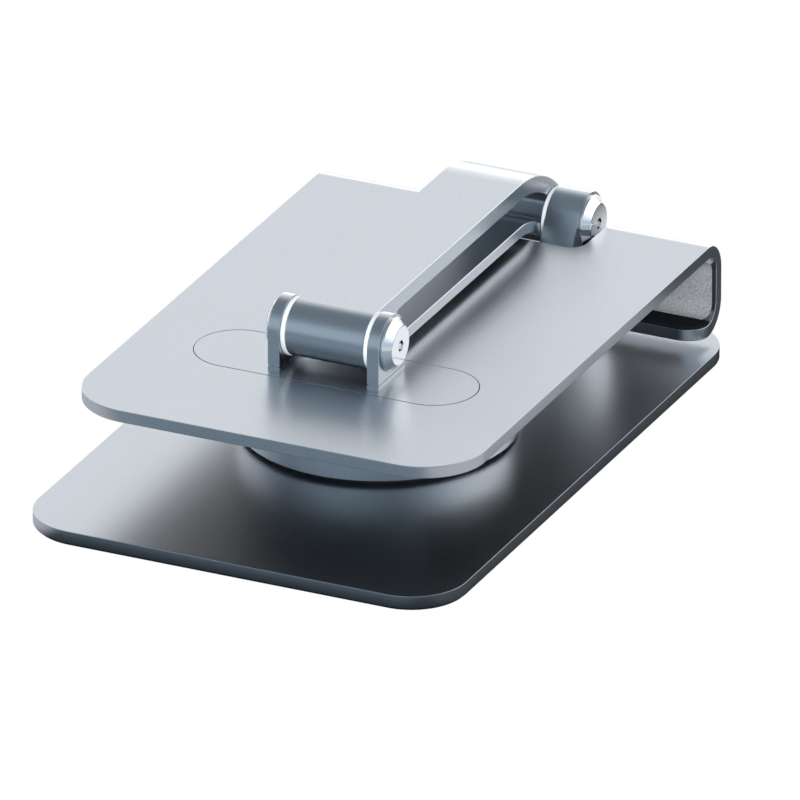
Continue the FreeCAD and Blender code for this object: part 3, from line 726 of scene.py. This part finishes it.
def make_end_cap(node, body, axis_point):
    """Low cap with a bevelled rim, on the left."""
    low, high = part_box(node)
    radius = (high.z - low.z) / 2
    face = low.x
    rim = face + END_CAP_STEP
    seat = rim + END_CAP_STEP
    cap = add_rod(node + "_disc", radius, (rim, axis_point.y, axis_point.z),
                  (seat, axis_point.y, axis_point.z), X)
    start_edit(cap)
    pick("FACE", faces(X, -1))
    bpy.ops.mesh.extrude_region_move(TRANSFORM_OT_translate={"value": (face - rim, 0, 0)})
    shrink_cap_face(radius, radius - END_CAP_STEP, (face, axis_point.y, axis_point.z))
    pick("EDGE", lambda e: any(on_level(e, X, place) for place in (face, rim)))
    round_picked(CAP_EDGE, RIM_STEPS)
    end_edit()
    smooth(cap)
    hand_over(cap, body, "polished_chrome", node)


def make_washers(node, body, axis_point):
    """Two plastic washers with soft edges, one on each side of the arm."""
    low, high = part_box(node)
    outer = (high.z - low.z) / 2
    pair = []
    for side, start in (("left", low.x), ("right", high.x - WASHER_THICKNESS)):
        end = start + WASHER_THICKNESS
        ring = add_rod(f"{node}_{side}", outer, (start, axis_point.y, axis_point.z),
                       (end, axis_point.y, axis_point.z), X)
        cut_away(ring, add_rod("washer_hole", PIN_HOLE, (start - MM, axis_point.y, axis_point.z),
                               (end + MM, axis_point.y, axis_point.z), X))
        soften_sharp_edges(ring, WASHER_EDGE, RIM_STEPS)
        smooth(ring)
        pair.append(ring)
    for ring in pair:
        hand_over(ring, body, "white_plastic", node)


def make_bracket():
    bracket = merged_copy("bracket", "swivel_bracket")
    soften_sharp_edges(bracket, BRACKET_RIM)
    smooth(bracket)
    hand_over(bracket, "turntable", "anodised_aluminium", "bracket")


make_base()
make_platform()
make_ear("ear_left")
make_ear("ear_right")
make_pads()
make_cap("near_cap", "platform", near_axis)
make_cap("far_cap", "turntable", far_axis)
make_end_cap("near_end_cap", "platform", near_axis)
make_end_cap("far_end_cap", "turntable", far_axis)
make_washers("near_washers", "platform", near_axis)
make_washers("far_washers", "turntable", far_axis)
make_bracket()

# ---- floor, light and camera -------------------------------------------------------------------

FLOOR_SIZE = 6.0
FLOOR_DROP = 0.2 * MM

# What the metal mirrors: the floor's painted shadow and painted light by zone, then the sky by direction
FLOOR_PAINTED_SHADOW = (0.02, 0.028, 0.036, 1)
FLOOR_NEAR_PAINTED_LIGHT = (0.22, 0.28, 0.335, 1)
FLOOR_BESIDE_PAINTED_SHADOW = (0.075, 0.082, 0.09, 1)
FLOOR_RIGHT_PAINTED_LIGHT = (0.62, 0.655, 0.70, 1)
FLOOR_FAR_PAINTED_LIGHT = (0.95, 0.99, 1.02, 1)
FLOOR_LEFT_PAINTED_LIGHT = (0.60, 0.62, 0.66, 1)
WHITE = (1, 1, 1, 1)

NEAR_SKY = (0.50, 0.62, 0.715, 1)
FAR_LEFT_SKY = (1.12, 1.14, 1.16, 1)
FAR_RIGHT_SKY = (1.75, 1.78, 1.78, 1)
OVERHEAD_SKY = (0.20, 0.245, 0.29, 1)
LEFT_HORIZON_SKY = (3.0, 3.0, 3.0, 1)
RIGHT_HORIZON_SKY = (0.12, 0.13, 0.14, 1)

# Where one part of the sky eases into the next, along the direction's X, Y or Z
RIGHTWARD = (-0.2, 0.3)
AWAY = (-0.5, 0.3)
DOWN_TO_HORIZON = (0.28, 0.05)
UP_TO_OVERHEAD = (0.42, 0.85)

# Where each zone of the floor's painted shadow and light starts and is full, out from the object's box
NEAR_ZONE = (2 * MM, 26 * MM)
BESIDE_ZONE = (0, 4 * MM)
RIGHT_ZONE = (22 * MM, 36 * MM)
RIGHT_ZONE_END = (36 * MM, 18 * MM)
LEFT_ZONE = (-12 * MM, 2 * MM)
LEFT_ZONE_END = (60 * MM, 20 * MM)
FAR_ZONE = (55 * MM, 85 * MM)
FAR_ZONE_END = (5 * MM, -20 * MM)

FILL_PLACE = Vector((1.0, -1.55, 0.72))
FILL_SIZE = 1.0
FILL_POWER = 38

AIM = Vector((5.455, 6.911, 14.654)) * MM
AZIMUTH = math.radians(24.931)
ELEVATION = math.radians(24.629)
DISTANCE = 8.998
LENS = 1100
SENSOR = 36
VIEW_LIMIT = 30


def make_sky():
    """Soft studio surround: bright beyond the object, dimmer behind the viewer and dim overhead."""
    world = bpy.data.worlds.new("studio")
    bpy.context.scene.world = world
    world.use_nodes = True
    tree = world.node_tree
    background = tree.nodes["Background"]
    way = add_node(tree, "SeparateXYZ")
    feed(tree, add_node(tree, "TexCoord").outputs["Generated"], way.inputs[0])
    x, y, z = way.outputs
    right = ease(tree, x, *RIGHTWARD)
    far = blend_colours(tree, right, FAR_LEFT_SKY, FAR_RIGHT_SKY)
    horizon = blend_colours(tree, right, LEFT_HORIZON_SKY, RIGHT_HORIZON_SKY)
    far = blend_colours(tree, ease(tree, z, *DOWN_TO_HORIZON), far, horizon)
    around = blend_colours(tree, ease(tree, y, *AWAY), NEAR_SKY, far)
    above = blend_colours(tree, ease(tree, z, *UP_TO_OVERHEAD), around, OVERHEAD_SKY)
    seen = blend_colours(tree, add_node(tree, "LightPath").outputs["Is Camera Ray"], above, WHITE)
    feed(tree, seen, background.inputs["Color"])


def painted_floor_zone(tree, place, edge, way, span):
    """A mask over the floor for one zone of painted shadow and light, growing from 0 to 1 along an axis,
    out from an edge of the object's box.
    """
    return ease(tree, place, edge + way * span[0], edge + way * span[1])


def make_floor():
    """White to the camera. What the metal mirrors of it is painted: a dark painted shadow under and beside
    the base, painted light further out.
    """
    bpy.ops.mesh.primitive_plane_add(size=FLOOR_SIZE, location=(0, 0, -FLOOR_DROP))
    floor = placed("floor")
    material = bpy.data.materials.new("pale_floor")
    material.use_nodes = True
    tree = material.node_tree
    tree.nodes.remove(tree.nodes["Principled BSDF"])
    way = add_node(tree, "SeparateXYZ")
    feed(tree, add_node(tree, "TexCoord").outputs["Object"], way.inputs[0])
    x, y = way.outputs[:2]
    near = painted_floor_zone(tree, y, cad_low.y, -1, NEAR_ZONE)
    beside = painted_floor_zone(tree, x, cad_high.x, 1, BESIDE_ZONE)
    right = calculate(tree, "MULTIPLY", painted_floor_zone(tree, x, cad_high.x, 1, RIGHT_ZONE),
                      painted_floor_zone(tree, y, cad_high.y, 1, RIGHT_ZONE_END))
    left = calculate(tree, "MULTIPLY", painted_floor_zone(tree, x, cad_low.x, -1, LEFT_ZONE),
                     painted_floor_zone(tree, y, cad_low.y, -1, LEFT_ZONE_END))
    far = calculate(tree, "MULTIPLY", painted_floor_zone(tree, y, cad_high.y, 1, FAR_ZONE),
                    painted_floor_zone(tree, x, cad_high.x, 1, FAR_ZONE_END))
    # Painted shadow under and beside the base, painted light further out, seen only in reflections
    shade = blend_colours(tree, far, FLOOR_PAINTED_SHADOW, FLOOR_FAR_PAINTED_LIGHT)
    for zone, colour in ((beside, FLOOR_BESIDE_PAINTED_SHADOW), (near, FLOOR_NEAR_PAINTED_LIGHT), (right, FLOOR_RIGHT_PAINTED_LIGHT),
                         (left, FLOOR_LEFT_PAINTED_LIGHT)):
        shade = blend_colours(tree, zone, shade, colour)
    seen = blend_colours(tree, add_node(tree, "LightPath").outputs["Is Camera Ray"], shade, WHITE)
    glow = add_node(tree, "Emission")
    feed(tree, seen, glow.inputs["Color"])
    feed(tree, glow.outputs[0], tree.nodes["Material Output"].inputs["Surface"])
    floor.data.materials.append(material)


def add_fill_light():
    """A soft light from the front right for the rubber and plastic. The metal doesn't mirror it."""
    light = bpy.data.lights.new("front_fill", "AREA")
    light.size = FILL_SIZE
    light.energy = FILL_POWER
    holder = bpy.data.objects.new("front_fill", light)
    holder.location = FILL_PLACE
    holder.rotation_mode = "QUATERNION"
    holder.rotation_quaternion = (FILL_PLACE - AIM).to_track_quat("Z", "Y")
    holder.visible_glossy = False
    holder.visible_camera = False
    bpy.context.scene.collection.objects.link(holder)


def make_camera():
    back = Vector((math.sin(AZIMUTH) * math.cos(ELEVATION), -math.cos(AZIMUTH) * math.cos(ELEVATION),
                   math.sin(ELEVATION)))
    camera = bpy.data.cameras.new("camera")
    camera.lens = LENS
    camera.sensor_width = SENSOR
    camera.clip_end = VIEW_LIMIT
    holder = bpy.data.objects.new("camera", camera)
    holder.location = AIM + back * DISTANCE
    holder.rotation_mode = "QUATERNION"
    holder.rotation_quaternion = back.to_track_quat("Z", "Y")
    bpy.context.scene.collection.objects.link(holder)
    bpy.context.scene.camera = holder


make_sky()
make_floor()
add_fill_light()
make_camera()
bpy.context.scene.view_settings.view_transform = "Standard"
